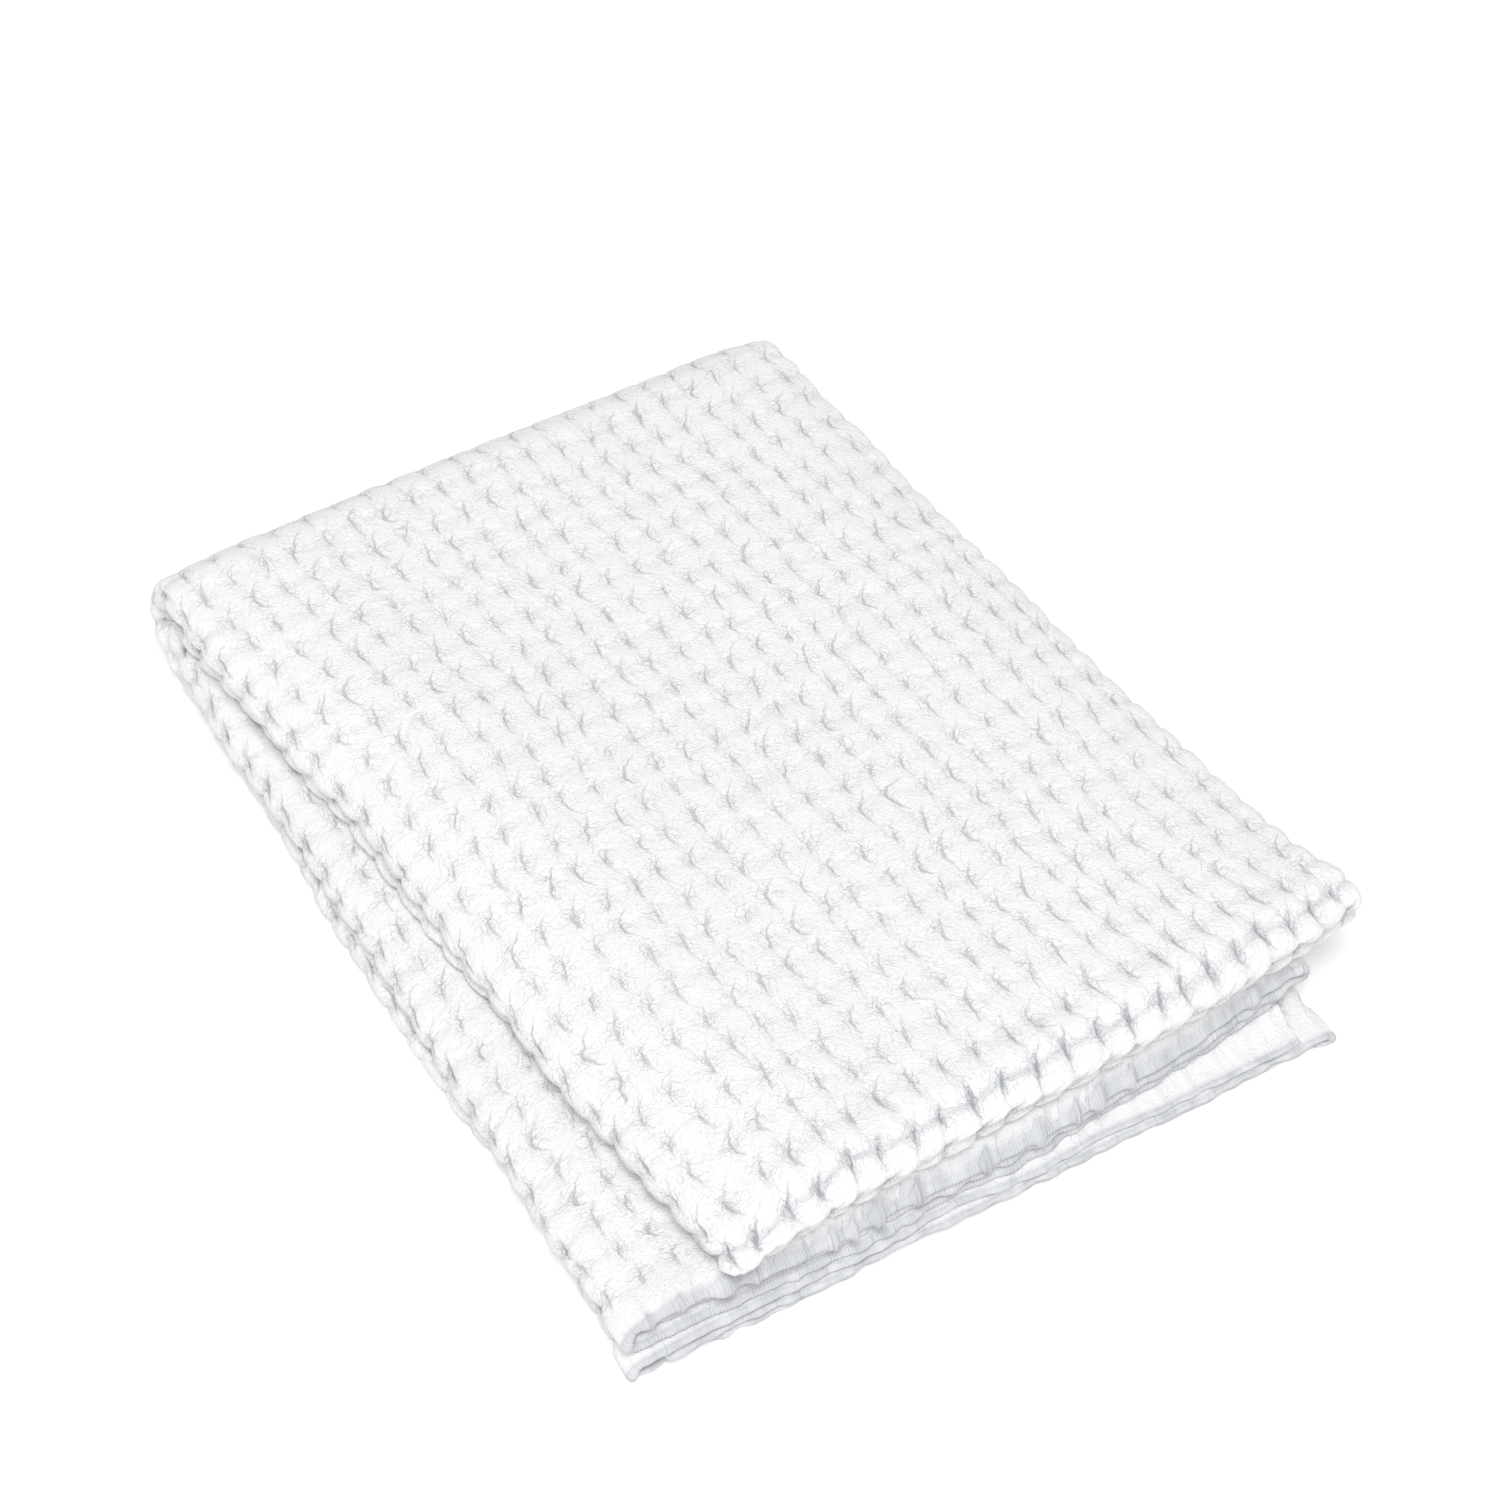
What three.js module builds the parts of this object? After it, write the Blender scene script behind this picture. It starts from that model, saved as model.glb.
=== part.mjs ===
// A bath towel of thick waffle cloth, folded for the shelf. It is one piece of cloth: its long sides are
// folded over each other like a letter, which makes a strip of three layers, and the strip is then folded
// in half twice, so that four strips lie on each other. The two hems lie at the front, under a round fold.
import * as THREE from 'three';

// Driving dimensions, in millimetres. X runs along the front, Y to the back, and Z up.
const STRIP_WIDTH = 250;
const STACK_LENGTH = 364; // from the front fold to the back of the outer wrap
const CLOTH = 3.6; // one layer with its waffle relief
const LAYER_PITCH = 4.3; // from one layer of the strip to the next
const LEVEL_GAP = 1.0; // between one strip and the next
const FREE_EDGE_INSET = 13; // a folded-in side ends this far short of the opposite fold

// How the pile lies. The lower two strips stick out to the left at the front, and come in towards the back.
const LOWER_LEFT = { front: -33, back: -1 };
const LOWER_RIGHT = { front: 234, back: 257 };
const UPPER_LEFT = { front: -1.5, back: 0, waist: 1 };
const UPPER_RIGHT = { front: 250, back: 258, waist: 6 };
const STRAY = { depth: 1.4, wave: 236 }; // the strips' sides wander in and out along the cloth
const BACK_LEAN = 8; // the pile's left side reaches this much further back than its right side
const NOSE_FLARE = { out: 8, along: 60 }; // the front fold's right end is pushed out
const NOSE_CORNER = { back: 9, across: 100, along: 60 }; // and rounded off

// How the pile settles, as shares of its height. The sides sink, because they are two layers thick there.
const SINK = { left: { front: 0.28, middle: 0.2, back: 0.06 }, right: 0.08, reach: 38 };
// On the left the top strip hangs softly over the lower ones, and the third strip is pressed flat under it.
const DRAPE = {
  top: { front: 0.34, middle: 0.24, back: 0.06 },
  third: { front: 0.76, middle: 0.24, back: 0.1 },
  tuck: 2,
  reach: 52,
};
const HEM_SINK = { share: 0.45, reach: 24 }; // the hems are thin, so the lower strips thin out to the front
const LUMPS = { share: 0.02, across: 170, along: 230, shiftX: 0.1, shiftY: 0.2 };

// Where the hem of each layer ends, as Y at its left and its right end, and how far its middle bows out.
const HEM_FADE = 120; // the cloth takes up these offsets over this length
const HEMS = {
  bottom: { underLeft: 5, right: -8, left: 7, overRight: -6.5, bow: 0.5 },
  second: { underLeft: 13, right: 10, left: 11, overRight: 11, bow: -7.5 },
};

// Where the flat stretches have corners, closer together on the slope at the left and at the hems, and the
// steps round each turn
const CORNERS_ACROSS = [18, 27, 38, 54, 88, 128, 168, 208];
const CORNERS_ALONG = [10, 20, 32, 60, 110, 165, 220, 275];
const SECTION_STEPS = { rightTurn: 4, leftTurn: 6 };
const PATH_STEPS = { outerWrap: 10, frontFold: 8, innerWrap: 6 };

const STRIP = 2 * LAYER_PITCH + CLOTH;
const LEVEL_PITCH = STRIP + LEVEL_GAP;
const STACK_HEIGHT = 3 * LEVEL_PITCH + STRIP;
const MIDDLE = STACK_HEIGHT / 2;

const clamp01 = (value) => Math.min(1, Math.max(0, value));
const mix = (a, b, share) => a + (b - a) * share;
const steps = (count) => Array.from({ length: count }, (_, i) => (i + 1) / count);
const swell = (share) => Math.sin(Math.PI * clamp01(share));

// The corners of a flat stretch, from after its start to its end
function stretch(from, to, corners) {
  const between = corners.filter((place) => (place - from) * (place - to) < 0);
  return [...(to < from ? between.reverse() : between), to];
}

// The letter fold, across the cloth: the under flap, the right fold, the middle third, the left fold and the
// over flap. x runs across the strip, n is the height in it, and (outX, outN) is the cloth's own normal.
function letterFold() {
  const rightRadius = LAYER_PITCH / 2;
  const leftRadius = LAYER_PITCH;
  const right = STRIP_WIDTH - rightRadius - CLOTH / 2;
  const left = leftRadius + CLOTH / 2;
  const points = [{ x: FREE_EDGE_INSET, n: 0, outX: 0, outN: 1, layer: 'under' }];
  const flat = (from, to, n, outN, layer) => {
    for (const x of stretch(from, to, CORNERS_ACROSS)) points.push({ x, n, outX: 0, outN, layer });
  };
  flat(FREE_EDGE_INSET, right, 0, 1, 'under');
  for (const t of steps(SECTION_STEPS.rightTurn)) {
    const [s, c] = [Math.sin(Math.PI * t), Math.cos(Math.PI * t)];
    points.push({ x: right + rightRadius * s, n: rightRadius * (c - 1), outX: s, outN: c, layer: 'middle' });
  }
  flat(right, left, -LAYER_PITCH, -1, 'middle');
  for (const t of steps(SECTION_STEPS.leftTurn)) {
    const [s, c] = [Math.sin(Math.PI * t), Math.cos(Math.PI * t)];
    points.push({ x: left - leftRadius * s, n: -leftRadius * c, outX: -s, outN: -c, layer: 'over' });
  }
  flat(left, STRIP_WIDTH - FREE_EDGE_INSET, LAYER_PITCH, 1, 'over');
  return points;
}

// The strip's way from one hem to the other: back along the bottom, round the outer wrap, forward along the
// top, round the front fold, back, round the inner wrap inside the outer one, and forward to the other hem.
// (inY, inZ) points to the strip's over flap, and upper is 0 on the lower two strips and 1 on the upper two.
function stripPath() {
  const level = [0, 1, 2, 3].map((i) => STRIP / 2 + i * LEVEL_PITCH);
  const outerRadius = 1.5 * LEVEL_PITCH;
  const innerRadius = 0.5 * LEVEL_PITCH;
  const backTurn = STACK_LENGTH - outerRadius - STRIP / 2;
  const frontTurn = innerRadius + STRIP / 2;
  const frontMiddle = (level[2] + level[3]) / 2;
  const points = [{ y: 0, z: level[0], inY: 0, inZ: 1, upper: 0, hem: 'bottom' }];
  const flat = (from, to, z, rest) => {
    for (const y of stretch(from, to, CORNERS_ALONG)) points.push({ y, z, inY: 0, ...rest });
  };
  flat(0, backTurn, level[0], { inZ: 1, upper: 0, hem: 'bottom' });
  for (const t of steps(PATH_STEPS.outerWrap)) {
    const [s, c] = [Math.sin(Math.PI * t), Math.cos(Math.PI * t)];
    points.push({ y: backTurn + outerRadius * s, z: MIDDLE - outerRadius * c, inY: -s, inZ: c, upper: t });
  }
  flat(backTurn, frontTurn, level[3], { inZ: -1, upper: 1 });
  for (const t of steps(PATH_STEPS.frontFold)) {
    const [s, c] = [Math.sin(Math.PI * t), Math.cos(Math.PI * t)];
    const y = frontTurn - innerRadius * s;
    points.push({ y, z: frontMiddle + innerRadius * c, inY: s, inZ: -c, upper: 1 });
  }
  flat(frontTurn, backTurn, level[2], { inZ: 1, upper: 1 });
  for (const t of steps(PATH_STEPS.innerWrap)) {
    const [s, c] = [Math.sin(Math.PI * t), Math.cos(Math.PI * t)];
    points.push({ y: backTurn + innerRadius * s, z: MIDDLE + innerRadius * c, inY: s, inZ: c, upper: 1 - t });
  }
  flat(backTurn, 0, level[1], { inZ: -1, upper: 0, hem: 'second' });
  points.forEach((point, i) => {
    const before = points[i - 1];
    point.along = before ? before.along + Math.hypot(point.y - before.y, point.z - before.z) : 0;
  });
  return points;
}

// How far forward or back the hem of one layer ends
function hemOffset(hem, layer, share) {
  const ends = {
    under: [hem.underLeft, hem.right],
    middle: [hem.left, hem.right],
    over: [hem.left, hem.overRight],
  }[layer];
  return mix(...ends, share) + hem.bow * 4 * share * (1 - share);
}

// The sides of the pile at y: [left, right] of the lower strips, and of the upper strips
function lowerSides(y) {
  const share = y / STACK_LENGTH;
  return [LOWER_LEFT, LOWER_RIGHT].map((side) => mix(side.front, side.back, share));
}

function upperSides(y) {
  const share = y / STACK_LENGTH;
  const left = mix(UPPER_LEFT.front, UPPER_LEFT.back, share) + UPPER_LEFT.waist * swell(share);
  const right = mix(UPPER_RIGHT.front, UPPER_RIGHT.back, share) - UPPER_RIGHT.waist * swell(share);
  return [left, right + NOSE_FLARE.out * fall(y, NOSE_FLARE.along)];
}

// A share of the height that is lost at a side, at y along the pile, and how it fades away from that side
function lost({ front, middle, back }, y) {
  const share = y / STACK_LENGTH;
  return mix(front, back, share) + middle * swell(share);
}
const fall = (distance, reach) => (1 - clamp01(distance / reach)) ** 2;

// What is left of the lower strips' height where they have sunk at their sides
function lowerHeight(x, y, [left, right]) {
  return 1 - lost(SINK.left, y) * fall(x - left, SINK.reach) - SINK.right * fall(right - x, SINK.reach);
}

// How high a point of the upper two strips lies over the lower ones, when it was at rise before they settled
function upperRise(rise, x, y, [left, right]) {
  const atLeft = fall(x - left, DRAPE.reach);
  const third = Math.min(rise, LEVEL_PITCH);
  const settled = third * (1 - lost(DRAPE.third, y) * atLeft)
    + (rise - third) * (1 - lost(DRAPE.top, y) * atLeft);
  const lumpX = Math.sin(2 * Math.PI * (x / LUMPS.across + LUMPS.shiftX));
  const lumpY = Math.sin(2 * Math.PI * (y / LUMPS.along + LUMPS.shiftY));
  return settled * (1 - SINK.right * fall(right - x, SINK.reach) + LUMPS.share * lumpX * lumpY);
}

// How far the third strip's left side is tucked in
function tuck(rise, x, y, left) {
  const open = 1 - clamp01(y / STACK_LENGTH) ** 2;
  return DRAPE.tuck * open * fall(x - left, DRAPE.reach) * swell(rise / (1.2 * LEVEL_PITCH));
}

// A point of the cloth's face: the letter fold carried along the strip's way, and then settled
function clothPoint(across, along, side) {
  const flatX = across.x + side * (CLOTH / 2) * across.outX;
  const n = across.n + side * (CLOTH / 2) * across.outN;
  let y = along.y + n * along.inY;
  const flatZ = along.z + n * along.inZ;
  const share = across.x / STRIP_WIDTH;
  if (along.hem) {
    y += hemOffset(HEMS[along.hem], across.layer, share) * clamp01(1 - y / HEM_FADE);
  }
  const atCorner = 1 - clamp01((STRIP_WIDTH - flatX) / NOSE_CORNER.across);
  const atNose = along.upper * clamp01(1 - y / NOSE_CORNER.along);
  y += BACK_LEAN * (1 - share) * clamp01(y / STACK_LENGTH) + NOSE_CORNER.back * atCorner ** 2 * atNose;
  const lower = lowerSides(y);
  const upper = upperSides(y);
  const left = mix(lower[0], upper[0], along.upper);
  const right = mix(lower[1], upper[1], along.upper);
  const stray = STRAY.depth * Math.sin((2 * Math.PI * along.along) / STRAY.wave);
  const x = mix(left, right, flatX / STRIP_WIDTH) + stray;
  const rise = flatZ - MIDDLE;
  const lowered = lowerHeight(x, y, lower);
  const z = rise < 0
    ? flatZ * lowered * (1 - HEM_SINK.share * fall(y, HEM_SINK.reach))
    : MIDDLE * lowered + upperRise(rise, x, y, upper);
  return [x + tuck(rise, x, y, upper[0]), y, z];
}

// The cloth as one closed sheet: its two faces, and the rim that joins them round the four edges
function clothGeometry() {
  const section = letterFold();
  const path = stripPath();
  const columns = section.length;
  const rows = path.length;
  const face = rows * columns;
  const points = [];
  for (const side of [1, -1]) {
    for (const along of path) {
      for (const across of section) points.push(...clothPoint(across, along, side));
    }
  }
  const index = [];
  const quad = (a, b, c, d) => index.push(a, b, c, a, c, d);
  for (let i = 0; i < rows - 1; i++) {
    for (let j = 0; j < columns - 1; j++) {
      const a = i * columns + j;
      const [b, c, d] = [a + 1, a + columns + 1, a + columns];
      quad(a, b, c, d);
      quad(face + a, face + d, face + c, face + b);
    }
  }
  const rim = (a, b) => quad(b, a, face + a, face + b);
  for (let j = 0; j < columns - 1; j++) {
    rim(j, j + 1);
    rim((rows - 1) * columns + j + 1, (rows - 1) * columns + j);
  }
  for (let i = 0; i < rows - 1; i++) {
    rim((i + 1) * columns, i * columns);
    rim(i * columns + columns - 1, (i + 1) * columns + columns - 1);
  }
  const geometry = new THREE.BufferGeometry();
  geometry.setAttribute('position', new THREE.Float32BufferAttribute(points, 3));
  geometry.setIndex(index);
  geometry.computeVertexNormals();
  return geometry;
}

// White cotton, placed with the middle of its underside at the origin
function towel() {
  const geometry = clothGeometry();
  geometry.computeBoundingBox();
  const { min, max } = geometry.boundingBox;
  const material = new THREE.MeshStandardMaterial({ color: 0xf4f5f6, roughness: 0.95, metalness: 0 });
  const mesh = new THREE.Mesh(geometry, material);
  mesh.name = 'towel';
  mesh.position.set(-(min.x + max.x) / 2, -(min.y + max.y) / 2, -min.z);
  return mesh;
}

const model = new THREE.Group();
model.add(towel());

export default model;
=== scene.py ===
import math

import bpy
import numpy as np
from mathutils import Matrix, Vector


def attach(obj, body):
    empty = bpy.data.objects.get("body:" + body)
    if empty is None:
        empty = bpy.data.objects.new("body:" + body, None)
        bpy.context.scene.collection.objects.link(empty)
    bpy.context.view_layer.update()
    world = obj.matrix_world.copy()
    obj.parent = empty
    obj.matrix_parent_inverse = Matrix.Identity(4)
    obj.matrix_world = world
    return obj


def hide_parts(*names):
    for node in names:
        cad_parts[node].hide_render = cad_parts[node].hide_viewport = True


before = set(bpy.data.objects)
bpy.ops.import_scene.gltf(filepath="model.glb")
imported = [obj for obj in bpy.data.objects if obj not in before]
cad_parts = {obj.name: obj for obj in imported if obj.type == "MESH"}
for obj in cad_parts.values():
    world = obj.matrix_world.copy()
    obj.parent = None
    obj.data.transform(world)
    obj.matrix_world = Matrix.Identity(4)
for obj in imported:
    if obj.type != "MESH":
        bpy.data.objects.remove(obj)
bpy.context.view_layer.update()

# The towel's cloth. It is one panel of thick white cotton, woven in puffed waffle cells, with a smooth plain
# hem at each end. The long sides are folded over each other like a letter, and the strip that this makes is
# folded in half twice, so the pile has four strips of three layers, and both hems lie at the front.
STRIP_WIDTH = 0.250
STACK_LENGTH = 0.364
CLOTH = 0.0036  # with its puffed cells
LAYER_PITCH = 0.0043
LEVEL_GAP = 0.001
FREE_EDGE_INSET = 0.013
STRIP = 2 * LAYER_PITCH + CLOTH
LEVEL_PITCH = STRIP + LEVEL_GAP
PILE_MIDDLE = (0.11218, 0.18196)  # what stands over the origin, in the measures of this section
HALF_HEIGHT = (3 * LEVEL_PITCH + STRIP) / 2

# The pile's sides, at the front and at the back: the lower two strips stick out to the left at the front
LOWER_LEFT, LOWER_RIGHT = (-0.033, -0.001), (0.234, 0.257)
UPPER_LEFT, UPPER_RIGHT = (-0.0015, 0.0), (0.250, 0.258)
LEFT_WAIST, RIGHT_WAIST = 0.001, 0.006
STRAY, STRAY_WAVE = 0.0014, 0.236  # the strips' sides wander along the cloth
SIDE_BUMP = 0.0009  # and have small bumps
BACK_LEAN = 0.008  # the left side reaches this much further back than the right side
NOSE_FLARE, FLARE_ALONG = 0.008, 0.060  # the front fold's right end is pushed out, and rounded off
NOSE_CORNER, CORNER_ACROSS, CORNER_ALONG = 0.009, 0.100, 0.060
# How the pile settles, as shares of its height. On the left they are for its front, the extra in its middle
# and its back. The top strip hangs over the lower ones there, and the third strip is pressed flat under it.
LEFT_SINK, RIGHT_SINK, SINK_REACH = (0.28, 0.20, 0.06), 0.08, 0.038
TOP_DRAPE, THIRD_DRAPE, TUCK, DRAPE_REACH = (0.34, 0.24, 0.06), (0.76, 0.24, 0.10), 0.002, 0.052
HEM_SINK, HEM_REACH = 0.45, 0.024  # the hems are thin, so the lower strips thin out to the front
UPPER_HEM_LIFT = 0.35  # the upper hem is puffier, and keeps this share of what the lower one loses
LUMP, LUMP_SIZE = 0.02, (0.170, 0.230)
DENT, DENT_SIZE = 0.010, (0.043, 0.047)
# Where each layer of a hem ends: the under flap's left end, the middle third's left and right ends, the over
# flap's right end, and how far the middle bows out
HEM_FADE = 0.120
BOTTOM_HEM = (0.005, 0.007, -0.008, -0.0065, 0.0005)
SECOND_HEM = (0.013, 0.011, 0.010, 0.011, -0.0075)

# The letter fold: under flap, right turn, middle third, left turn and over flap
RIGHT_RADIUS = LAYER_PITCH / 2
LEFT_RADIUS = LAYER_PITCH
RIGHT_X = STRIP_WIDTH - RIGHT_RADIUS - CLOTH / 2
LEFT_X = LEFT_RADIUS + CLOTH / 2
ACROSS = {
    "under": RIGHT_X - FREE_EDGE_INSET,
    "right turn": math.pi * RIGHT_RADIUS,
    "middle": RIGHT_X - LEFT_X,
    "left turn": math.pi * LEFT_RADIUS,
    "over": STRIP_WIDTH - FREE_EDGE_INSET - LEFT_X,
}
# The strip's way: bottom level, outer wrap, top level, front fold, third level, inner wrap, second level
OUTER_RADIUS = 1.5 * LEVEL_PITCH
INNER_RADIUS = 0.5 * LEVEL_PITCH
BACK_TURN = STACK_LENGTH - OUTER_RADIUS - STRIP / 2
FRONT_TURN = INNER_RADIUS + STRIP / 2
ALONG = {
    "bottom": BACK_TURN,
    "outer wrap": math.pi * OUTER_RADIUS,
    "top": BACK_TURN - FRONT_TURN,
    "front fold": math.pi * INNER_RADIUS,
    "third": BACK_TURN - FRONT_TURN,
    "inner wrap": math.pi * INNER_RADIUS,
    "second": BACK_TURN,
}
PANEL = (sum(ACROSS.values()), sum(ALONG.values()))


def done(place, runs, name):
    """How far each run of the cloth has been passed at a place along it"""
    start = 0.0
    for run, length in runs.items():
        if run == name:
            return np.clip(place - start, 0, length)
        start += length


def letter_fold(s):
    """Where the panel lies in the strip: x across it, n up through it, and the way its outer face looks"""
    right = done(s, ACROSS, "right turn") / RIGHT_RADIUS
    left = done(s, ACROSS, "left turn") / LEFT_RADIUS
    x = (FREE_EDGE_INSET + done(s, ACROSS, "under") + RIGHT_RADIUS * np.sin(right)
         - done(s, ACROSS, "middle") - LEFT_RADIUS * np.sin(left) + done(s, ACROSS, "over"))
    n = RIGHT_RADIUS * (np.cos(right) - 1) + LEFT_RADIUS * (1 - np.cos(left))
    return x, n, np.sin(right + left), np.cos(right + left)


def strip_path(t):
    """Where the strip lies in the pile: y, z, the way to its over flap, and 0 low in the pile to 1 high"""
    wrap = done(t, ALONG, "outer wrap") / OUTER_RADIUS
    front = done(t, ALONG, "front fold") / INNER_RADIUS
    inner = done(t, ALONG, "inner wrap") / INNER_RADIUS
    y = (done(t, ALONG, "bottom") + OUTER_RADIUS * np.sin(wrap) - done(t, ALONG, "top")
         - INNER_RADIUS * np.sin(front) + done(t, ALONG, "third") + INNER_RADIUS * np.sin(inner)
         - done(t, ALONG, "second"))
    z = (STRIP / 2 + OUTER_RADIUS * (1 - np.cos(wrap)) - INNER_RADIUS * (1 - np.cos(front))
         - INNER_RADIUS * (1 - np.cos(inner)))
    turned = wrap + front - inner
    return y, z, -np.sin(turned), np.cos(turned), (wrap - inner) / math.pi


def wander(x, y, seed):
    """Smooth random values from -1 to 1, about one bump for each unit of x and y"""
    table = np.random.default_rng(seed).uniform(-1, 1, (128, 128))
    i, j = np.floor(x).astype(int), np.floor(y).astype(int)
    fx, fy = x - i, y - j
    fx, fy = fx * fx * (3 - 2 * fx), fy * fy * (3 - 2 * fy)
    at = lambda a, b: table[a % 128, b % 128]
    low = at(i, j) * (1 - fx) + at(i + 1, j) * fx
    high = at(i, j + 1) * (1 - fx) + at(i + 1, j + 1) * fx
    return low * (1 - fy) + high * fy


def mix(ends, share):
    return ends[0] + (ends[1] - ends[0]) * share


def lower_sides(y):
    share = y / STACK_LENGTH
    left = mix(LOWER_LEFT, share) + SIDE_BUMP * wander(y / 0.031, 0 * y, 11)
    right = mix(LOWER_RIGHT, share) + SIDE_BUMP * wander(y / 0.037, 0 * y, 12)
    return left, right


def upper_sides(y):
    share = y / STACK_LENGTH
    waist = np.sin(math.pi * np.clip(share, 0, 1))
    flare = (1 - np.clip(y / FLARE_ALONG, 0, 1)) ** 2
    left = mix(UPPER_LEFT, share) + LEFT_WAIST * waist + SIDE_BUMP * wander(y / 0.033, 0 * y, 13)
    right = mix(UPPER_RIGHT, share) - RIGHT_WAIST * waist + NOSE_FLARE * flare
    return left, right + SIDE_BUMP * wander(y / 0.035, 0 * y, 14)


def fall(distance, reach):
    """1 at a side, fading to 0 at its reach"""
    return (1 - np.clip(distance / reach, 0, 1)) ** 2


def lost(sink, y):
    """The share of the height that is lost at the left side, at y along the pile"""
    front, middle, back = sink
    share = y / STACK_LENGTH
    return mix((front, back), share) + middle * np.sin(math.pi * np.clip(share, 0, 1))


def hem_end(s, t, x):
    """How far forward or back the hem of each layer ends"""
    share = x / STRIP_WIDTH
    under = s < ACROSS["under"]
    over = s > PANEL[0] - ACROSS["over"] - ACROSS["left turn"]
    moved = 0.0
    for from_end, (under_left, left, right, over_right, bow) in ((t, BOTTOM_HEM), (PANEL[1] - t, SECOND_HEM)):
        start = np.where(under, under_left, left)
        end = np.where(over, over_right, right)
        offset = start + (end - start) * share + bow * 4 * share * (1 - share)
        moved = moved + np.where(from_end < HEM_FADE + 0.02, offset, 0)
    return moved


def lie(s, t, d, forward=0.0):
    """A point of the cloth as it lies in the pile, d out from the middle of its thickness"""
    x, n, out_x, out_n = letter_fold(s)
    y, z, in_y, in_z, upper = strip_path(t)
    share = x / STRIP_WIDTH
    flat_x = x + d * out_x
    n = n + d * out_n
    hem = hem_end(s, t, x)
    y = y + n * in_y
    z = z + n * in_z
    y = y + hem * np.clip(1 - y / HEM_FADE, 0, 1)
    at_corner = 1 - np.clip((STRIP_WIDTH - flat_x) / CORNER_ACROSS, 0, 1)
    at_nose = upper * np.clip(1 - y / CORNER_ALONG, 0, 1)
    y = y + BACK_LEAN * (1 - share) * np.clip(y / STACK_LENGTH, 0, 1) + NOSE_CORNER * at_corner ** 2 * at_nose
    lower, higher = lower_sides(y), upper_sides(y)
    left = lower[0] + (higher[0] - lower[0]) * upper
    right = lower[1] + (higher[1] - lower[1]) * upper
    x = left + (right - left) * flat_x / STRIP_WIDTH + STRAY * np.sin(2 * math.pi * t / STRAY_WAVE)
    low = (1 - lost(LEFT_SINK, y) * fall(x - lower[0], SINK_REACH)
           - RIGHT_SINK * fall(lower[1] - x, SINK_REACH))
    rise = z - HALF_HEIGHT
    third = np.minimum(rise, LEVEL_PITCH)
    at_left = fall(x - higher[0], DRAPE_REACH)
    risen = third * (1 - lost(THIRD_DRAPE, y) * at_left) + (rise - third) * (1 - lost(TOP_DRAPE, y) * at_left)
    lump_x = np.sin(2 * math.pi * (x / LUMP_SIZE[0] + 0.1))
    lump_y = np.sin(2 * math.pi * (y / LUMP_SIZE[1] + 0.2))
    high = (1 - RIGHT_SINK * fall(higher[1] - x, SINK_REACH) + LUMP * lump_x * lump_y
            + DENT * wander(x / DENT_SIZE[0], y / DENT_SIZE[1], 31))
    droop = 1 - HEM_SINK * fall(y, HEM_REACH) * (1 - UPPER_HEM_LIFT * np.clip(z / LEVEL_PITCH - 1, 0, 1))
    settled = np.where(rise < 0, z * low * droop, HALF_HEIGHT * low + risen * high)
    back = np.clip(y / STACK_LENGTH, 0, 1)
    tucked = np.sin(math.pi * np.clip(rise / (1.2 * LEVEL_PITCH), 0, 1)) * (1 - back ** 2)
    return np.stack([x + TUCK * at_left * tucked - PILE_MIDDLE[0], y - forward - PILE_MIDDLE[1], settled], -1)


# The waffle weave. The panel is counted in cells, run by run: they are about 11 mm across it and 14 mm along
# it, and a little more of them lie on the outside of a fold.
CELLS_ACROSS = {"under": 20.5, "right turn": 1.0, "middle": 21.1, "left turn": 1.7, "over": 20.7}
CELLS_ALONG = {"bottom": 23.7, "outer wrap": 5.2, "top": 22.7, "front fold": 2.4, "third": 22.7,
               "inner wrap": 1.4, "second": 23.9}
HEM, HEM_END = 0.008, 0.006  # its width, and how soon the cells are full behind it
HEM_THICK, HEM_ROLL, HEM_PUCKER = 0.0038, 0.0019, 0.0005
# From the middle of the cloth to its inner face: all over, the extra on the middle third, and at a hem, where
# the layers lie close
INNER_FACE, INNER_SWELL, HEM_INNER = 0.0016, 0.0006, 0.0014
CREASE, PUFF_UNEVEN, PIT = 0.00075, 0.00025, 0.00020
DEEPEST = 0.0031  # a crease on the outside of a fold, under the top of the puffs
MEAN_DEPTH = 0.0007  # for cells with too few faces to carry their creases
COUNT = (round(sum(CELLS_ACROSS.values())), round(sum(CELLS_ALONG.values())))


def place_across(u):
    return np.interp(u, np.cumsum([0, *CELLS_ACROSS.values()]), np.cumsum([0, *ACROSS.values()]))


def place_along(v):
    return np.interp(v, np.cumsum([0, *CELLS_ALONG.values()]), np.cumsum([0, *ALONG.values()]))


def panel_place(u, v):
    """Where a point of the lattice of cells is on the panel, with the rows and columns wandering a little"""
    held_u = np.clip(np.minimum(u, COUNT[0] - u), 0, 1)
    held_v = np.clip(np.minimum(v, COUNT[1] - v) / 1.5, 0, 1)
    moved_u = u + held_u * (0.25 * wander(u / 6, v / 7, 41) + 0.12 * wander(u, v, 42))
    moved_v = v + held_v * (0.25 * wander(u / 7, v / 6, 43) + 0.14 * wander(u, v, 44))
    return place_across(moved_u), place_along(moved_v)


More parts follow.
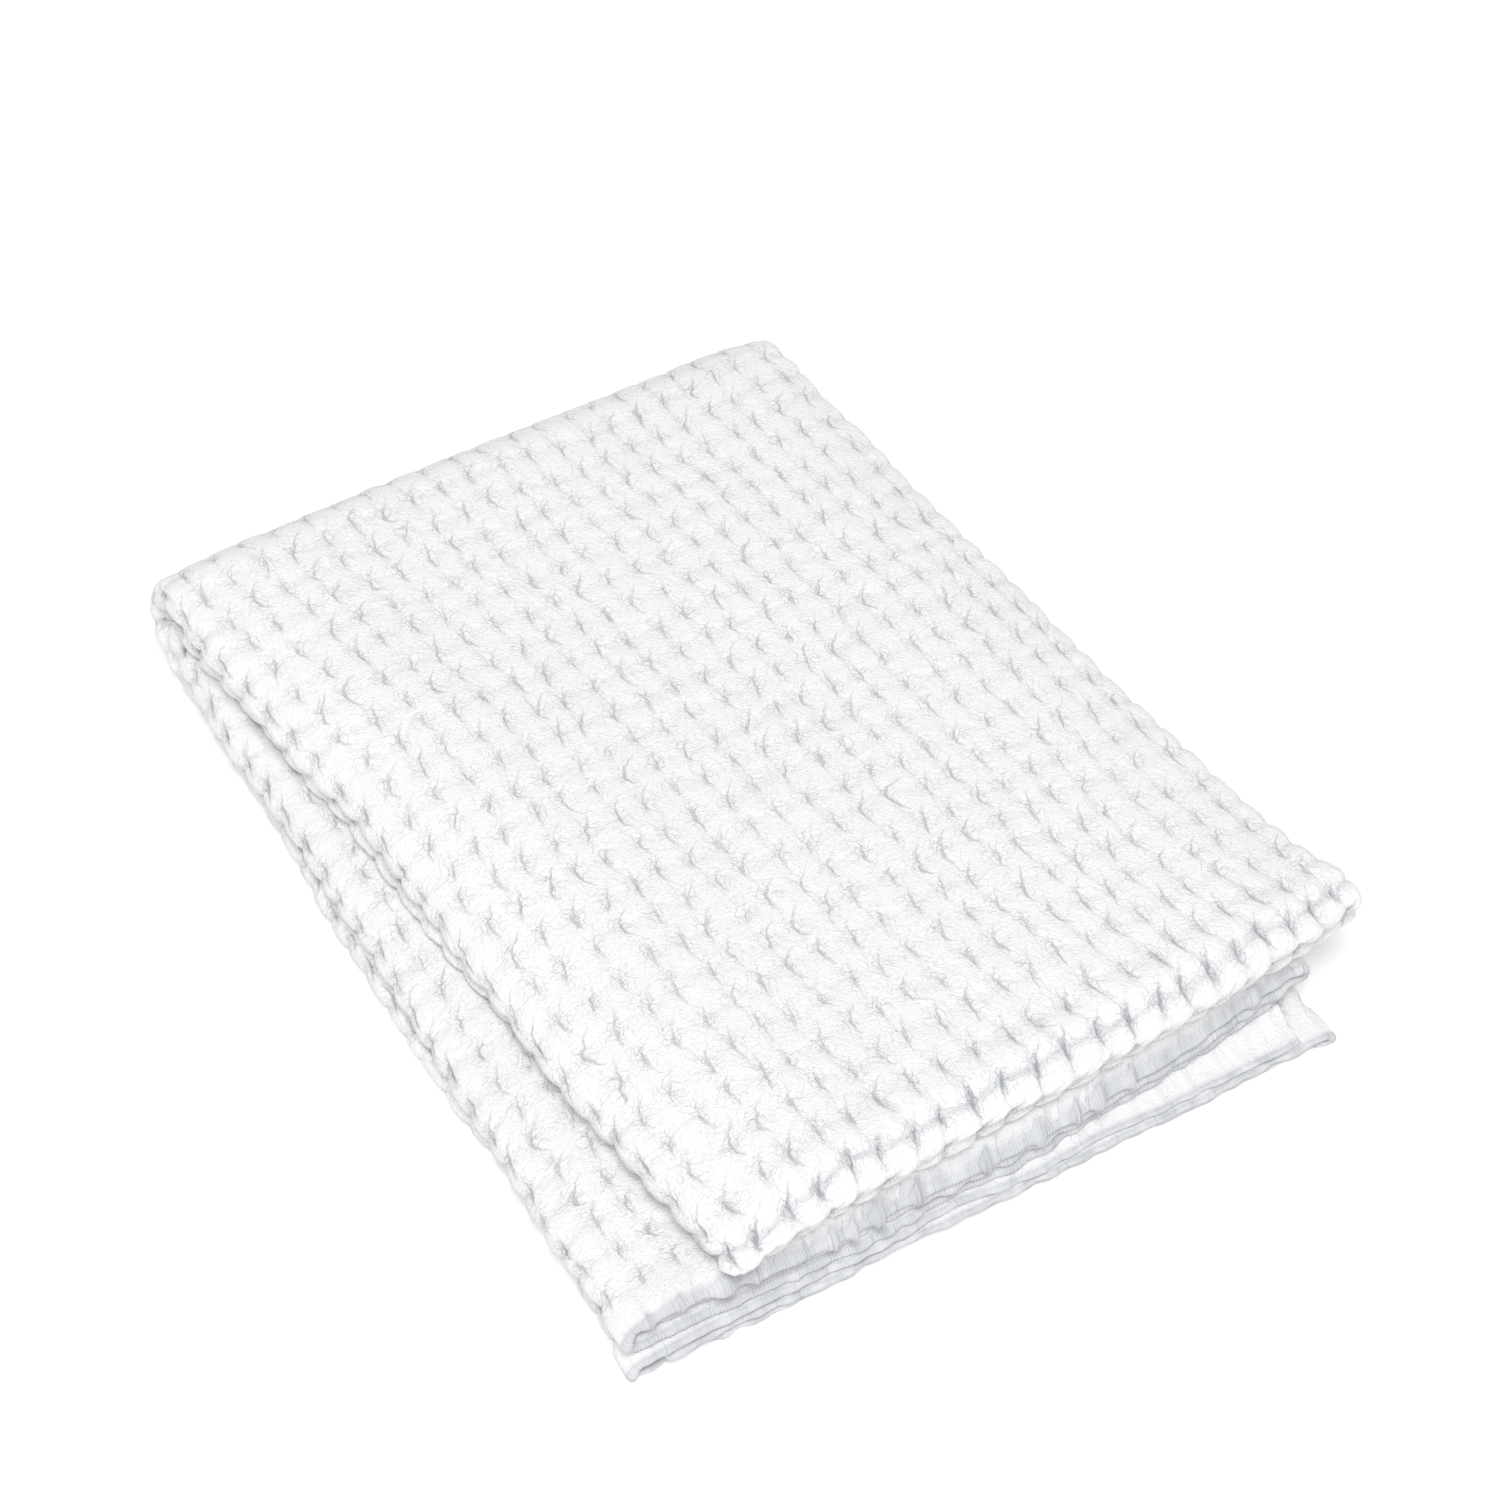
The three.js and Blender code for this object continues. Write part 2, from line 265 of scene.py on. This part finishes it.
def forked_pits(u, v, opened):
    """The pits at the corners of the cells, 0 to about 1: a leaning stroke, and a fork at its back end"""
    chance = np.random.default_rng(5).uniform(-1, 1, (6, 80, 120))
    pits = 0.0
    for di in (-1, 0, 1):
        for dj in (-1, 0, 1):
            iu, iv = np.round(u).astype(int) + di, np.round(v).astype(int) + dj
            size, slant, length, arm, tilt, bend = chance[:, iu % 80, iv % 120]
            right, back = -(u - iu), -(v - iv)
            along = back + 0.06
            cross = right - (0.32 + 0.38 * slant) * along - (0.8 + 0.9 * bend) * along ** 2
            wide = 0.074 * (1 + 0.35 * opened)
            long = (0.27 + 0.08 * length) * (1 + 0.45 * opened)
            stroke = np.exp(-(cross / wide) ** 2 - np.abs(along / long) ** 3)
            rise = back - 0.16 - (0.45 + 0.45 * tilt) * right
            fork = np.exp(-(rise / 0.07) ** 2 - ((right - 0.14) / (0.15 + 0.08 * arm)) ** 2)
            sink = back - 0.10 + (0.5 + 0.3 * tilt) * right
            tail = np.exp(-(sink / 0.07) ** 2 - ((right + 0.13) / 0.12) ** 2)
            pits = pits + (1 + 0.35 * size) * stroke + (0.45 + 0.3 * arm) * fork + (0.3 + 0.3 * length) * tail
    return np.minimum(pits, 1.25)


def puff_depth(u, v, pits, opened):
    """How far the face lies under the top of the puffs: rounded cells, uneven in height, and their pits"""
    u = u + 0.10 * wander(u * 1.3, v * 1.3, 47)
    v = v + 0.10 * wander(u * 1.3, v * 1.3, 48)
    fu, fv = np.abs(2 * (u % 1) - 1), np.abs(2 * (v % 1) - 1)
    sharp = 3.8 - 1.0 * opened
    column = fu ** sharp * (0.60 - 0.25 * opened + (0.40 + 0.25 * opened) * fv ** 1.5)
    creases = CREASE * (1 - (1 - column) * (1 - (0.70 + 0.4 * opened) * fv ** sharp))
    uneven = PUFF_UNEVEN * (1 + wander(u + 0.5, v + 0.5, 45)) + PUFF_UNEVEN * wander(u * 2.6, v * 2.9, 46)
    return creases * (1 + 2.0 * opened) + uneven + PIT * pits * (1 + 4.0 * opened)


def hem_puckers(u):
    """How far a hem bulges between the gathers that the waffle's columns end in, from -1 in a gather to 1"""
    bulge = -np.cos(2 * math.pi * (u + 0.22 * wander(u / 1.1, 0 * u, 51)))
    return bulge * (0.5 + 0.5 * wander(u / 1.4, 0 * u, 52)) + 0.5 * wander(u / 0.3, 0 * u, 53)


# Each cell is cut into faces, more of them where it shows, and closer together at its creases
RIM_STEPS = 4
FINEST = 8
STEPS_ACROSS = (0, 0.065, 0.16, 0.31, 0.5, 0.69, 0.84, 0.935)
STEPS_ALONG = (0, 0.12, 0.26, 0.42, 0.57, 0.69, 0.79, 0.89)


def fineness():
    """Faces across and along each cell, for the outer face of the cloth and for its inner face"""
    outer = np.ones((2, *COUNT), int)
    inner = np.ones((2, *COUNT), int)

    def cells(counts, name, first=0.0, last=0.0):
        """The cells of a run, from some cells after its start, or to some cells before its end"""
        before = list(counts).index(name)
        start = sum(list(counts.values())[:before])
        return slice(int(start + first), math.ceil(start + counts[name] - last))

    def show(face, across, along, count):
        for k in (0, 1):
            face[k][across, along] = np.maximum(face[k][across, along], count[k])

    across = {name: cells(CELLS_ACROSS, name) for name in CELLS_ACROSS}
    along = {name: cells(CELLS_ALONG, name) for name in CELLS_ALONG}
    everywhere = slice(None)
    for face in (outer, inner):
        for run in ("outer wrap", "front fold", "inner wrap"):
            show(face, everywhere, along[run], (1, 4))
        show(face, across["left turn"], everywhere, (4, 1))
        show(face, across["right turn"], everywhere, (4, 1))
        show(face, everywhere, slice(0, 1), (8, 2))
        show(face, everywhere, slice(-1, None), (8, 2))
        show(face, slice(-1, None), everywhere, (2, 4))
    show(outer, across["middle"], along["bottom"], (2, 2))
    for run in ("outer wrap", "top", "front fold"):
        show(outer, across["middle"], along[run], (8, 8))
    show(outer, across["middle"], cells(CELLS_ALONG, "third", 0, 20.7), (4, 8))
    show(outer, across["left turn"], everywhere, (4, 8))
    show(outer, across["right turn"], everywhere, (8, 4))
    show(outer, cells(CELLS_ACROSS, "middle", 18, 0), along["second"], (8, 8))
    show(outer, across["middle"], slice(-2, None), (8, 8))
    show(outer, across["middle"], slice(-4, -2), (4, 4))
    show(outer, across["over"], slice(0, 2), (8, 8))
    show(outer, across["over"], slice(2, 3), (4, 4))
    return outer, inner


def face_grid(count):
    """The corners of one face's triangles on the finest lattice, with no gaps between unlike cells"""
    across, along = count
    low = lambda values, axis: np.minimum(
        np.pad(values, [(1, 0) if k == axis else (0, 0) for k in (0, 1)], mode="edge"),
        np.pad(values, [(0, 1) if k == axis else (0, 0) for k in (0, 1)], mode="edge"))
    line_across, line_along = low(across, 1), low(along, 0)
    found = []
    for a in np.unique(across):
        for b in np.unique(along):
            i, j = (k[:, None] for k in np.nonzero((across == a) & (along == b)))
            p, q = (k.ravel()[None] for k in np.meshgrid(np.arange(a), np.arange(b), indexing="ij"))

            def corner(dp, dq):
                cp, cq = p + dp + 0 * i, q + dq + 0 * i
                x, y = cp * FINEST // a, cq * FINEST // b
                step_x = FINEST // line_across[i, j + (cq == b)]
                step_y = FINEST // line_along[i + (cp == a), j]
                new_x = np.where((cq == 0) | (cq == b), (x + step_x // 2) // step_x * step_x, x)
                new_y = np.where((cp == 0) | (cp == a), (y + step_y // 2) // step_y * step_y, y)
                return (i * FINEST + new_x) * (COUNT[1] * FINEST + 1) + j * FINEST + new_y

            corners = [corner(0, 0), corner(1, 0), corner(1, 1), corner(0, 1)]
            for k in ((0, 1, 2), (0, 2, 3)):
                found.append(np.stack([corners[m] for m in k], -1).reshape(-1, 3))
    triangles = np.concatenate(found)
    pairs = [triangles[:, k] == triangles[:, k - 1] for k in range(3)]
    return triangles[~(pairs[0] | pairs[1] | pairs[2])]


def fine_share(count, a, b):
    """1 where all cells round a point have faces enough to carry their shape, and else 0"""
    fine = np.pad((count.min(0) >= 4).astype(float), 1, mode="edge")
    share = np.ones(len(a))
    for before_a in (0, 1):
        for before_b in (0, 1):
            i, j = (a - before_a) // FINEST, (b - before_b) // FINEST
            share = np.minimum(share, fine[i + 1, j + 1])
    return share


def lattice(index, steps):
    whole, part = index // FINEST, index % FINEST
    return whole + np.array(steps)[part]


def ramp(value, width):
    share = np.clip(value / width, 0, 1)
    return share * share * (3 - 2 * share)


def in_middle(s, fade):
    """1 on the middle third of the panel, fading to 0 at its two long folds"""
    start = ACROSS["under"] + ACROSS["right turn"]
    return ramp(np.minimum(s - start, start + ACROSS["middle"] - s), fade)


def hem_roll(s, t, puckers):
    """How far the upper hem's top layer stands up as a soft puckered roll, under the front fold"""
    from_hem = PANEL[1] - t
    along = ramp(from_hem + 0.001, 0.005) * (1 - ramp(from_hem - 0.005, 0.016))
    return HEM_ROLL * in_middle(s, 0.020) * along * (0.85 + 0.12 * puckers)


def cloth_mesh():
    rows = COUNT[1] * FINEST + 1
    last = (COUNT[0] * FINEST, COUNT[1] * FINEST)
    points, triangles, cells, places, keys = [], [], [], [], []
    start = 0
    right_fold = ACROSS["under"] + ACROSS["right turn"] / 2
    left_fold = PANEL[0] - ACROSS["over"] - ACROSS["left turn"] / 2
    nose = sum(ALONG[k] for k in ("bottom", "outer wrap", "top")) + ALONG["front fold"] / 2
    for count, side in zip(fineness(), (1, -1)):
        used, index = np.unique(face_grid(count), return_inverse=True)
        index = index.reshape(-1, 3)
        a, b = used // rows, used % rows
        u, v = lattice(a, STEPS_ACROSS), lattice(b, STEPS_ALONG)
        s, t = panel_place(u, v)
        from_hem = np.minimum(t, PANEL[1] - t)
        puffed = ramp(from_hem - HEM, HEM_END) * ramp(np.minimum(s, PANEL[0] - s) - 0.005, 0.005)
        puckers = hem_puckers(u)
        hem_half = HEM_THICK / 2 + HEM_PUCKER * puckers
        if side > 0:
            fine = fine_share(count, a, b)
            opened = np.exp(-((t - nose) / 0.017) ** 2)
            opened = np.maximum(opened, 0.6 * np.exp(-((s - left_fold) / 0.010) ** 2))
            opened = np.maximum(opened, 0.6 * np.exp(-((s - right_fold) / 0.007) ** 2))
            pits = forked_pits(u, v, opened)
            depth = np.minimum(puff_depth(u, v, pits, opened), DEEPEST)
            d = puffed * (CLOTH / 2 - fine * depth - (1 - fine) * MEAN_DEPTH) + (1 - puffed) * hem_half
            d = d + hem_roll(s, t, puckers)
            # How deep the face lies under the puffs, 0 to 1; the material paints shade into the creases from
            # it
            hollow = fine * depth / DEEPEST
        else:
            hollow = 0 * u
            d = -(puffed * (INNER_FACE + INNER_SWELL * in_middle(s, 0.012)) + (1 - puffed) * HEM_INNER)
        scallop = (0.00035 * puckers + 0.0003 * wander(s / 0.005, 0 * s, 21)
                   + 0.0012 * wander(s / 0.026, 0 * s, 22))
        points.append(lie(s, t, d, scallop * np.exp(-(from_hem / 0.008) ** 2)))
        cells.append(np.stack([u, v, hollow * puffed], -1))
        places.append(np.stack([s, t, from_hem], -1))
        keys.append(dict(zip(used.tolist(), range(start, start + len(used)))))
        triangles.append((index if side > 0 else index[:, ::-1]) + start)
        start += len(used)
    # The rim: a rounded edge that joins the two faces along the hems and the selvedges
    outline = ([(a, 0) for a in range(last[0])] + [(last[0], b) for b in range(last[1])]
               + [(a, last[1]) for a in range(last[0], 0, -1)] + [(0, b) for b in range(last[1], 0, -1)])
    ring = np.array([a * rows + b for a, b in outline if a * rows + b in keys[0] and a * rows + b in keys[1]])
    top, below = (np.array([key[k] for k in ring.tolist()]) for key in keys)
    a, b = ring // rows, ring % rows
    edge = panel_place(lattice(a, STEPS_ACROSS), lattice(b, STEPS_ALONG))
    inside = panel_place(lattice(np.clip(a, 1, last[0] - 1), STEPS_ACROSS),
                         lattice(np.clip(b, 1, last[1] - 1), STEPS_ALONG))
    outward = lie(*edge, 0 * edge[0]) - lie(*inside, 0 * edge[0])
    outward /= np.linalg.norm(outward, axis=1, keepdims=True)
    faces, face_cells, face_places = (np.concatenate(k) for k in (points, cells, places))
    middle, half = (faces[top] + faces[below]) / 2, (faces[top] - faces[below]) / 2
    thickness = np.linalg.norm(half, axis=1, keepdims=True)
    rings = [top]
    for k in range(1, RIM_STEPS):
        turn = math.pi * k / RIM_STEPS
        points.append(middle + math.cos(turn) * half + math.sin(turn) * thickness * outward)
        cells.append(face_cells[top])
        places.append(face_places[top])
        rings.append(start + np.arange(len(ring)))
        start += len(ring)
    for one, other in zip(rings, rings[1:] + [below]):
        next_one, next_other = np.roll(one, -1), np.roll(other, -1)
        triangles.append(np.stack([next_one, one, other], -1))
        triangles.append(np.stack([next_one, other, next_other], -1))
    return (np.concatenate(k) for k in (points, triangles, cells, places))


cloth_points, cloth_triangles, cloth_cells, cloth_places = cloth_mesh()
cloth = bpy.data.meshes.new("towel_cloth")
cloth.vertices.add(len(cloth_points))
cloth.vertices.foreach_set("co", cloth_points.astype(np.float32).ravel())
cloth.loops.add(3 * len(cloth_triangles))
cloth.loops.foreach_set("vertex_index", cloth_triangles.astype(np.int32).ravel())
cloth.polygons.add(len(cloth_triangles))
cloth.polygons.foreach_set("loop_start", np.arange(0, 3 * len(cloth_triangles), 3, dtype=np.int32))
cloth.update(calc_edges=True)
cloth.validate()
cloth.shade_smooth()
for name, values in (("waffle", cloth_cells), ("panel", cloth_places)):
    attribute = cloth.attributes.new(name, "FLOAT_VECTOR", "POINT")
    attribute.data.foreach_set("vector", values.astype(np.float32).ravel())
towel = bpy.data.objects.new("towel_cloth", cloth)
bpy.context.collection.objects.link(towel)

# Its finish: matt bleached cotton, slightly cool, with fine crinkles round each pit and threads that show
# on the smooth hems, and with painted shade in its colour: in the pits, creases and gathers, and along the
# hems' edges
cotton = bpy.data.materials.new("white_waffle_cotton")
cotton.use_nodes = True
surface = cotton.node_tree.nodes["Principled BSDF"]


class Value:
    """A socket of a material's nodes, so that shader maths reads as sums"""

    def __init__(self, socket):
        self.socket = socket

    def node(self, kind, values, output=0, **settings):
        return make(self.socket.id_data, kind, values, output, **settings)

    def math(self, operation, *others):
        return self.node("ShaderNodeMath", dict(enumerate((self, *others))), operation=operation)

    def __add__(self, other):
        return self.math("ADD", other)

    __radd__ = __add__

    def __mul__(self, other):
        return self.math("MULTIPLY", other)

    __rmul__ = __mul__

    def __sub__(self, other):
        return self.math("SUBTRACT", other)

    def __rsub__(self, other):
        return (self * -1) + other

    def __truediv__(self, other):
        return self.math("DIVIDE", other)


def make(tree, kind, values, output=0, **settings):
    """A node of any type: its settings first, and then the values or links of its sockets"""
    node = tree.nodes.new(kind)
    for name, value in settings.items():
        setattr(node, name, value)
    for name, value in values.items():
        socket = node.inputs[name]
        if isinstance(value, Value):
            tree.links.new(value.socket, socket)
        else:
            socket.default_value = value
    return Value(node.outputs[output])


tree = cotton.node_tree
place = make(tree, "ShaderNodeAttribute", {}, "Vector", attribute_name="waffle")
panel = make(tree, "ShaderNodeAttribute", {}, "Vector", attribute_name="panel")
u, v, hollow = (place.node("ShaderNodeSeparateXYZ", {0: place}, k) for k in (0, 1, 2))
s, t, from_hem = (panel.node("ShaderNodeSeparateXYZ", {0: panel}, k) for k in (0, 1, 2))


def noise(vector, scale, detail, output="Fac"):
    return vector.node("ShaderNodeTexNoise", {"Vector": vector, "Scale": scale, "Detail": detail}, output)


def near(value, width):
    """1 where a value is close to zero, falling to 0 in about a width"""
    ratio = value / width
    return (ratio * ratio * -1).math("EXPONENT")


# Each pit draws the cloth round it into crinkles: a bent line, a fork at its back end, and folds beside it
pulls = [place.node("ShaderNodeSeparateXYZ", {0: noise(place, scale, 1.0, "Color")}, k)
         for scale, k in ((1.7, 0), (1.7, 1), (5.5, 0), (5.5, 1))]
pulled_u = u + (pulls[0] - 0.5) * 0.26 + (pulls[2] - 0.5) * 0.14
pulled_v = v + (pulls[1] - 0.5) * 0.26 + (pulls[3] - 0.5) * 0.14
column, row = pulled_u.math("ROUND"), pulled_v.math("ROUND")
picks = []
for layer in (0.5, 1.5):
    corner = column.node("ShaderNodeCombineXYZ", {0: column, 1: row, 2: layer})
    chance = corner.node("ShaderNodeTexWhiteNoise", {"Vector": corner}, "Color", noise_dimensions="3D")
    picks += [chance.node("ShaderNodeSeparateXYZ", {0: chance}, k) for k in (0, 1, 2)]
slant, length, arm, strength, bend, side = picks
right, back = column - pulled_u, row - pulled_v
along = back + 0.06
cross = right - (slant * 0.6 + 0.05) * along - along * along * (bend * 1.5 + 0.1)
reach = near(along, 0.20 + 0.26 * length)
line = near(cross, 0.034) * (reach * (0.55 + 0.6 * strength) + 0.10).math("MINIMUM", 1.0)
groove = near(cross, 0.075) * reach * (0.5 + 0.5 * strength)
fork = back - 0.13 - (0.2 + arm * 0.8) * right.math("ABSOLUTE")
fork_line = near(fork, 0.024) * near(right - 0.22 * side + 0.05, 0.17)
folds = (cross * (2 * math.pi / 0.13) + along * 5).math("SINE") * near(cross, 0.24) * near(along - 0.05, 0.30)
wrinkle = near(noise(place, 3.4, 3.0) - 0.5, 0.016) * (near(right, 0.42) * near(back, 0.45) + 0.12)

smooth = ((from_hem - HEM) / HEM_END).math("MINIMUM", 1.0).math("MAXIMUM", 0.0)
lines = (line + fork_line * (0.1 + 0.6 * length) + wrinkle * 0.5).math("MINIMUM", 1.0) * smooth
puckered = near(right, 0.32) * near(back, 0.36) * smooth
crinkle = noise(place, 4.5, 3.0)
fine_crinkle = noise(panel, 800.0, 3.0)
threads = (s * (2 * math.pi / 0.0010)).math("SINE") * (t * (2 * math.pi / 0.0010)).math("SINE")
pleats = (pulled_u * (4 * math.pi)).math("SINE") + noise(place, 2.2, 1.0) * 2
# The gathers at the hems: grooves in the bump, and also painted shade in the colour below
gather = near(right + (from_hem * 60) * (slant - 0.5), 0.030) * (1 - smooth) * strength * strength
height = (crinkle * (0.6 + 0.3 * puckered) - lines * 0.45 - groove * 0.08 * smooth + folds * 0.03 * smooth
          + fine_crinkle * (0.7 + 0.3 * puckered) + threads * (0.05 + 0.06 * (1 - smooth))
          + pleats * (1 - smooth) * 0.20 - gather * 0.25)
bump = place.node("ShaderNodeBump", {"Strength": 0.9, "Distance": 0.0009, "Height": height}, "Normal")
tree.links.new(bump.socket, surface.inputs["Normal"])
# Painted shade: the pits' lines, forks and wrinkles, their grooves and a faint band along each stroke are
# darkened in the colour, as shade falls in them
chain = near(cross, 0.045) * (0.03 + 0.05 * noise(place, 1.3, 1.0))
# Painted shade along each hem's edge, in dashes, where the stacked hem layers shade each other
hem_edge_shade = near(from_hem, 0.0013) * (0.10 + 0.90 * noise(panel, 130.0, 1.0))
# Painted shade in the creases: darker where the face lies deeper, so strongest in the open creases on the
# outside of the folds
crease_shade = (hollow - 0.38).math("MAXIMUM", 0.0) * 0.60 + (hollow - 0.12).math("MAXIMUM", 0.0) * 0.28
# All of these mixed: also painted shade where the crinkle bumps are low, and a faint pattern from the hem
# threads
shade = (lines * 0.36 + (groove * 0.15 + chain) * smooth + (1 - crinkle) * 0.04 + crease_shade + hem_edge_shade
         + gather * 0.12 + threads * 0.03 * (1 - smooth)).math("MINIMUM", 1.0).math("MAXIMUM", 0.0)
# The cotton's own white, and the dark colour that painted shade mixes it towards; the hem threads use it for
# their faint pattern too
WHITE, PAINTED_SHADE_AND_THREADS = (0.900, 0.907, 0.917, 1), (0.42, 0.435, 0.46, 1)
colour = make(tree, "ShaderNodeMix", {"Factor": shade, "A": WHITE, "B": PAINTED_SHADE_AND_THREADS}, 2, data_type="RGBA")
tree.links.new(colour.socket, surface.inputs["Base Color"])
surface.inputs["Roughness"].default_value = 0.95
surface.inputs["Specular IOR Level"].default_value = 0.2
surface.inputs["Sheen Weight"].default_value = 0.15
surface.inputs["Sheen Roughness"].default_value = 0.6
cloth.materials.append(cotton)

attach(towel, "root")
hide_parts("towel")

# The floor: a plain white sheet of studio paper, much larger than what stands on it.
floor_mesh = bpy.data.meshes.new("floor")
half = 6.0
floor_corners = [(-half, -half, 0), (half, -half, 0), (half, half, 0), (-half, half, 0)]
floor_mesh.from_pydata(floor_corners, [], [(0, 1, 2, 3)])
floor = bpy.data.objects.new("floor", floor_mesh)
bpy.context.collection.objects.link(floor)
paper = bpy.data.materials.new("white_paper")
paper.use_nodes = True
paper_surface = paper.node_tree.nodes["Principled BSDF"]
paper_surface.inputs["Base Color"].default_value = (0.88, 0.88, 0.88, 1)
paper_surface.inputs["Roughness"].default_value = 0.9
paper_surface.inputs["Specular IOR Level"].default_value = 0.1
paper_surface.inputs["Emission Color"].default_value = (1, 1, 1, 1)
paper_surface.inputs["Emission Strength"].default_value = 0.18
floor_mesh.materials.append(paper)

# The studio's light: a white room, a large soft lamp high in front, and a weak low one on the left.
world = bpy.data.worlds.new("studio")
world.use_nodes = True
world.node_tree.nodes["Background"].inputs["Color"].default_value = (1, 1, 1, 1)
world.node_tree.nodes["Background"].inputs["Strength"].default_value = 0.55
bpy.context.scene.world = world


def lamp(name, place, target, size, power):
    light = bpy.data.lights.new(name, "AREA")
    light.shape = "DISK"
    light.size = size
    light.energy = power
    thing = bpy.data.objects.new(name, light)
    thing.location = place
    thing.rotation_euler = (Vector(target) - Vector(place)).to_track_quat("-Z", "Y").to_euler()
    bpy.context.collection.objects.link(thing)


lamp("key", (-1.2, -1.8, 4.15), (0, 0, 0.03), 2.2, 134)
lamp("left", (-2.3, -2.6, 1.3), (0, 0, 0.02), 1.8, 10)
bpy.context.scene.view_settings.view_transform = "Standard"

# The camera, where the photographer's stood: in front on the left, looking down on the pile.
ELEVATION, AZIMUTH, DISTANCE = math.radians(44.7), math.radians(-34.2), 1.3939
SENSOR, LENS = 36, 95.2  # in mm
look_at = Vector((0.03845, 0.02923, 0.0))
away = Vector((math.sin(AZIMUTH) * math.cos(ELEVATION), -math.cos(AZIMUTH) * math.cos(ELEVATION),
               math.sin(ELEVATION)))
camera = bpy.data.objects.new("camera", bpy.data.cameras.new("camera"))
camera.data.sensor_width = SENSOR
camera.data.lens = LENS
camera.location = look_at + DISTANCE * away
camera.rotation_euler = (-away).to_track_quat("-Z", "Y").to_euler()
bpy.context.collection.objects.link(camera)
bpy.context.scene.camera = camera
